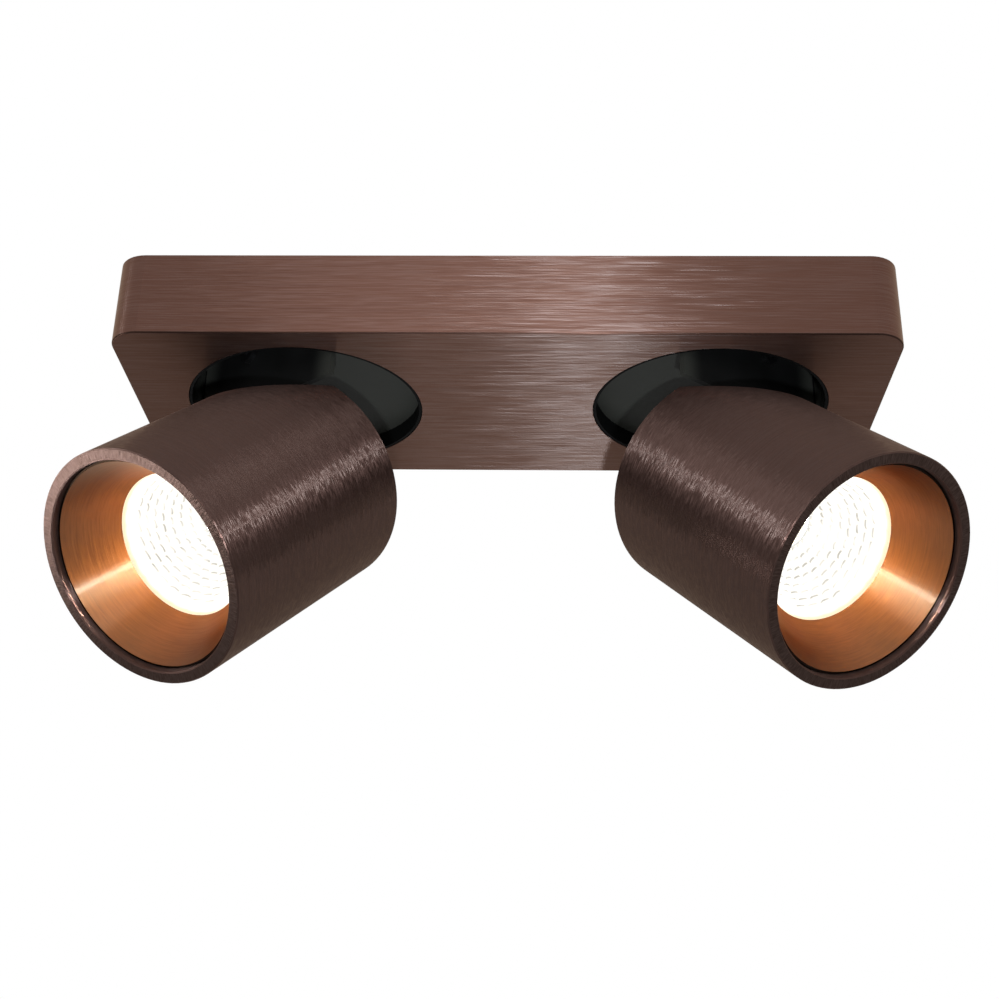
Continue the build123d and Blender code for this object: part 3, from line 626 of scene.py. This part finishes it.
def cup_coat(side):
    """Matt black of the swivel cup, darker on its rim and on its wall but for the outer end: painted
    shade.
    """
    f = Finish(f"black_cup_coat_{side}")
    fine, clouds = coat_noises(f, COAT_GRAIN)
    floor = f.blend(f.span(clouds, *NARROW), *CUP_FLOOR)
    rim = f.fall(f.parts(f.place())[2], *CUP_RIM)
    nx, _, nz = f.parts(f.facing())
    wall = f.fall(f.calc("ABSOLUTE", nz), *CUP_WALL)
    inward = 1.0 if side == "left" else -1.0
    unlit = f.fall(f.calc("MULTIPLY", nx, inward), *CUP_OUTER_END)
    # Painted shade on the rim, and on the wall but for its outer end
    shade = f.calc("MAXIMUM", rim, f.calc("MULTIPLY", wall, unlit))
    return f.surface(
        Base_Color=f.blend(shade, floor, CUP_PAINTED_SHADE),
        Roughness=f.span(clouds, *MIDDLE, *CUP_ROUGHNESS),
        Specular_IOR_Level=f.between(shade, *CUP_SPECULAR),
        Normal=f.bump(fine, COAT_BUMP, COAT_RELIEF),
    )


def leaf_coat(side):
    """Black of the hinge leaf, deepened as painted shade, and paler towards its ends as painted light."""
    f = Finish(f"black_hinge_coat_{side}")
    fine, clouds = coat_noises(f, COAT_GRAIN)
    black = f.blend(f.span(clouds, *NARROW), *LEAF_BLACK_AND_SHADE)
    # Painted light towards the leaf's ends
    out = f.calc("ABSOLUTE", f.parts(f.in_swivel(side))[0])
    end = f.span(out, LEAF_HALF - LEAF_PAINTED_LIGHT_LENGTH, LEAF_HALF, smooth=True)
    return f.surface(
        Base_Color=f.blend(end, black, LEAF_PAINTED_LIGHT),
        Roughness=f.span(clouds, *MIDDLE, *LEAF_ROUGHNESS),
        Specular_IOR_Level=0.15,
        Normal=f.bump(fine, COAT_BUMP, COAT_RELIEF),
    )


def zinc_sheet():
    """Galvanised sheet with a faint spangle and rolling lines."""
    f = Finish("zinc_sheet")
    cells = f.add("ShaderNodeTexVoronoi", {"Vector": f.place(), "Scale": ZINC_SPANGLES}, feature="F1")
    spangle = f.add("ShaderNodeSeparateColor", {0: cells.outputs["Color"]}).outputs[0]
    rolled = f.grain(f.place(), ZINC_LINES)
    tone = f.mixed((spangle, HALF), (rolled, HALF))
    return f.surface(
        Base_Color=f.blend(tone, *ZINC_TONES),
        Metallic=1.0,
        Roughness=f.span(tone, *ZINC_RANGE, *ZINC_ROUGHNESS),
        Normal=f.bump(rolled, ZINC_BUMP, ZINC_RELIEF),
    )


def kind_finishes():
    """Finishes by a piece's name, or by its kind where the left and the right one look alike."""
    finishes = {
        "housing": bronze_base(),
        "mounting_plate": zinc_sheet(),
        "rear_cap": coat(
            "black_satin_coat", dark=(0.020, 0.021, 0.018), light=(0.030, 0.031, 0.027), rough=0.62,
            specular=0.25,
        ),
        "heat_sink": coat(
            "black_anodised", dark=(0.016, 0.016, 0.017), light=(0.030, 0.030, 0.032), rough=0.34,
            grain=1600.0, bump=0.08, metallic=0.9,
        ),
        "cable_grommet": coat(
            "black_rubber", dark=(0.014, 0.014, 0.014), light=(0.026, 0.026, 0.026), rough=0.62,
            grain=700.0, bump=0.2,
        ),
        "plate_side_screws": coat(
            "black_oxide", dark=(0.018, 0.018, 0.019), light=(0.040, 0.040, 0.042), rough=0.4,
            grain=1800.0, bump=0.1, metallic=0.9,
        ),
        "earth_screw": coat(
            "brass_turned", dark=(0.50, 0.35, 0.12), light=(0.70, 0.53, 0.22), rough=0.3,
            grain=1500.0, bump=0.08, metallic=1.0,
        ),
        "led_driver": coat(
            "white_moulded", dark=(0.66, 0.66, 0.64), light=(0.76, 0.76, 0.74), rough=0.48,
            grain=800.0, bump=0.1,
        ),
        "terminal_block": coat(
            "natural_polyamide", dark=(0.62, 0.62, 0.58), light=(0.74, 0.74, 0.70), rough=0.36,
            grain=600.0, bump=0.06,
        ),
        "driver_screws": coat(
            "zinc_plated", dark=(0.42, 0.43, 0.45), light=(0.64, 0.65, 0.66), rough=0.28,
            grain=1500.0, bump=0.08, metallic=1.0,
        ),
        "friction_ring": coat(
            "glide_plastic", dark=(0.06, 0.06, 0.06), light=(0.10, 0.10, 0.10), rough=0.5,
            grain=700.0, bump=0.08,
        ),
        "led_board": coat(
            "white_board", dark=(0.74, 0.74, 0.72), light=(0.84, 0.84, 0.82), rough=0.4,
            grain=1200.0, bump=0.04,
        ),
        "reflector_sleeve": coat(
            "black_moulded", dark=(0.005, 0.005, 0.005), light=(0.010, 0.010, 0.010), rough=0.6,
            grain=800.0, bump=0.12, specular=0.2,
        ),
    }
    for side in HEADS:
        finishes[f"{side}_swivel_cup"] = cup_coat(side)
        finishes[f"{side}_hinge_leaf"] = leaf_coat(side)
        finishes[f"{side}_head_tube"] = bronze_tube(side)
        finishes[f"{side}_copper_cone"] = copper(side)
        finishes[f"{side}_reflector"] = lit_bowl(side)
        finishes[f"{side}_led_chip"] = lit_chip(side)
    return finishes


def turned(name, side, profile):
    """Piece turned round a lamp head's axis, from a closed profile of radii and depths."""
    origin, angles = head_place(side)
    aim = Euler(angles).to_matrix()
    points = []
    for step in range(TURN_STEPS):
        angle = 2 * pi * step / TURN_STEPS
        for radius, depth in profile:
            points.append(origin + aim @ Vector((radius * cos(angle), radius * sin(angle), -depth)))
    faces = []
    count = len(profile)
    for step in range(TURN_STEPS):
        here = step * count
        there = (step + 1) % TURN_STEPS * count
        for k in range(count):
            after = (k + 1) % count
            faces.append((here + k, here + after, there + after, there + k))
    mesh = bpy.data.meshes.new(name)
    mesh.from_pydata(points, [], faces)
    mesh.shade_smooth()
    mesh.set_sharp_from_angle(angle=radians(SHARP_ANGLE))
    piece = bpy.data.objects.new(name, mesh)
    bpy.context.scene.collection.objects.link(piece)
    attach(piece, f"{side}_head")
    return piece


def cone_outer(depth):
    """Outer radius of the copper cone at a depth from the rear plane."""
    share = (depth - CONE_REAR) / (CONE_FRONT - CONE_REAR)
    return CONE_REAR_RADIUS + CONE_WALL + share * (CONE_FRONT_RADIUS - CONE_REAR_RADIUS)


def wide_cone(side):
    """Copper cone and its black seat. The cone's front edge is close to the tube, as photographed."""
    cone = turned(
        f"{side}_wide_cone",
        side,
        [
            (CONE_REAR_RADIUS, CONE_REAR),
            (CONE_REAR_RADIUS + CONE_WALL, CONE_REAR),
            (cone_outer(SEAT_FRONT), SEAT_FRONT),
            (CONE_FRONT_RADIUS + CONE_LIP, CONE_FRONT),
            (CONE_FRONT_RADIUS, CONE_FRONT),
        ],
    )
    seat = turned(
        f"{side}_wide_seat",
        side,
        [
            (cone_outer(SEAT_REAR), SEAT_REAR),
            (TUBE_BORE, SEAT_REAR),
            (TUBE_BORE, SEAT_FRONT),
            (cone_outer(SEAT_FRONT), SEAT_FRONT),
        ],
    )
    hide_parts(f"{side}_copper_cone")
    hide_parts(f"{side}_cone_seat")
    return cone, seat


def dress():
    """Gives every node its finish, and adds the wide cones and seats with theirs."""
    finishes = kind_finishes()
    for name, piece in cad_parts.items():
        first, _, rest = name.partition("_")
        kind = rest if first in HEADS else name
        finish = finishes.get(name) or finishes[SAME_AS.get(kind, kind)]
        piece.data.materials.clear()
        piece.data.materials.append(finish.material)
    for side in HEADS:
        cone, seat = wide_cone(side)
        cone.data.materials.append(finishes[f"{side}_copper_cone"].material)
        seat.data.materials.append(finishes["reflector_sleeve"].material)


def pose_camera():
    """Camera at the photograph's place, with its angles, focal length and centre."""
    data = bpy.data.cameras.new("photo_camera")
    camera = bpy.data.objects.new("photo_camera", data)
    bpy.context.scene.collection.objects.link(camera)
    rise = radians(CAMERA_RISE)
    yaw = radians(CAMERA_YAW)
    roll = radians(CAMERA_ROLL)
    ahead = Vector((sin(yaw) * cos(rise), cos(yaw) * cos(rise), sin(rise)))
    right = ahead.cross(Vector(Z_AXIS)).normalized()
    up = right.cross(ahead)
    level = right * cos(roll) + up * sin(roll)
    top = -right * sin(roll) + up * cos(roll)
    turn = Matrix((level, top, -ahead)).transposed().to_4x4()
    camera.matrix_world = Matrix.Translation(CAMERA_PLACE) @ turn
    data.sensor_width = SENSOR_MM
    data.lens = SENSOR_MM * FOCAL_PIXELS / PHOTO_SIZE
    data.shift_x = (PHOTO_SIZE / 2 - CENTRE_PIXELS[0]) / PHOTO_SIZE
    data.shift_y = (CENTRE_PIXELS[1] - PHOTO_SIZE / 2) / PHOTO_SIZE
    data.clip_start = CLIP_NEAR
    data.clip_end = CLIP_FAR
    bpy.context.scene.camera = camera


def add_lamp(name, place, target, size, watts, colour=(1.0, 1.0, 1.0), beam=FULL_BEAM):
    """Oval area lamp aimed at a target, with its beam's angle in degrees."""
    data = bpy.data.lights.new(name, "AREA")
    data.shape = "ELLIPSE"
    data.size, data.size_y = size
    data.energy = watts
    data.color = colour
    data.spread = radians(beam)
    lamp = bpy.data.objects.new(name, data)
    lamp.location = place
    aim = Vector(target) - Vector(place)
    lamp.rotation_mode = "QUATERNION"
    lamp.rotation_quaternion = aim.to_track_quat("-Z", "Y")
    bpy.context.scene.collection.objects.link(lamp)


def seen(tree):
    """Light Path share of the rays that should meet the white background."""
    rays = tree.nodes.new("ShaderNodeLightPath").outputs
    share = rays["Is Camera Ray"]
    for other in ("Is Glossy Ray", "Is Transmission Ray"):
        join = tree.nodes.new("ShaderNodeMath")
        join.operation = "MAXIMUM"
        tree.links.new(share, join.inputs[0])
        tree.links.new(rays[other], join.inputs[1])
        share = join.outputs[0]
    return share


def add_world():
    """White world, at a lower level for the light that it gives the object."""
    world = bpy.data.worlds.new("studio")
    bpy.context.scene.world = world
    world.use_nodes = True
    tree = world.node_tree
    tree.nodes.clear()
    level = tree.nodes.new("ShaderNodeMapRange")
    tree.links.new(seen(tree), level.inputs["Value"])
    level.inputs["To Min"].default_value = WORLD_LEVEL
    level.inputs["To Max"].default_value = 1.0
    sky = tree.nodes.new("ShaderNodeBackground")
    sky.inputs["Color"].default_value = WHITE
    tree.links.new(level.outputs[0], sky.inputs["Strength"])
    tree.links.new(sky.outputs[0], tree.nodes.new("ShaderNodeOutputWorld").inputs["Surface"])


def pale_floor():
    """Pale floor that the camera and reflections see as white."""
    f = Finish("pale_floor")
    grain = f.grain(f.place(), FLOOR_GRAIN, detail=3.0)
    return f.surface(
        Base_Color=f.blend(f.span(grain, *MIDDLE), *FLOOR_TONES),
        Roughness=0.9,
        Emission_Color=WHITE,
        Emission_Strength=f.calc("MULTIPLY", seen(f.tree), FLOOR_LIFT),
    )


def add_floor():
    """Square floor well below the lamp."""
    corners = [(-1, -1), (1, -1), (1, 1), (-1, 1)]
    mesh = bpy.data.meshes.new("floor")
    mesh.from_pydata([(x * FLOOR_HALF, y * FLOOR_HALF, FLOOR_Z) for x, y in corners], [], [(0, 1, 2, 3)])
    floor = bpy.data.objects.new("floor", mesh)
    bpy.context.scene.collection.objects.link(floor)
    mesh.materials.append(pale_floor().material)


bpy.context.scene.view_settings.view_transform = "Standard"
pose_camera()
add_world()
add_floor()
add_lamp(
    "key",
    place=(0.06, -0.90, -0.68),
    target=(0.0, -0.03, -0.07),
    size=(0.04, 0.04),
    watts=7.0,
    colour=(0.94, 1.0, 1.05),
)
add_lamp(
    "front_soft",
    place=(-0.12, -1.05, -0.24),
    target=(0.0, -0.05, -0.08),
    size=(0.35, 0.55),
    watts=1.9,
)
add_lamp(
    "left_card",
    place=(-0.262, -0.058, -0.158),
    target=(-0.121, -0.069, -0.087),
    size=(0.06, 0.06),
    watts=0.023,
    beam=50.0,
)
dress()
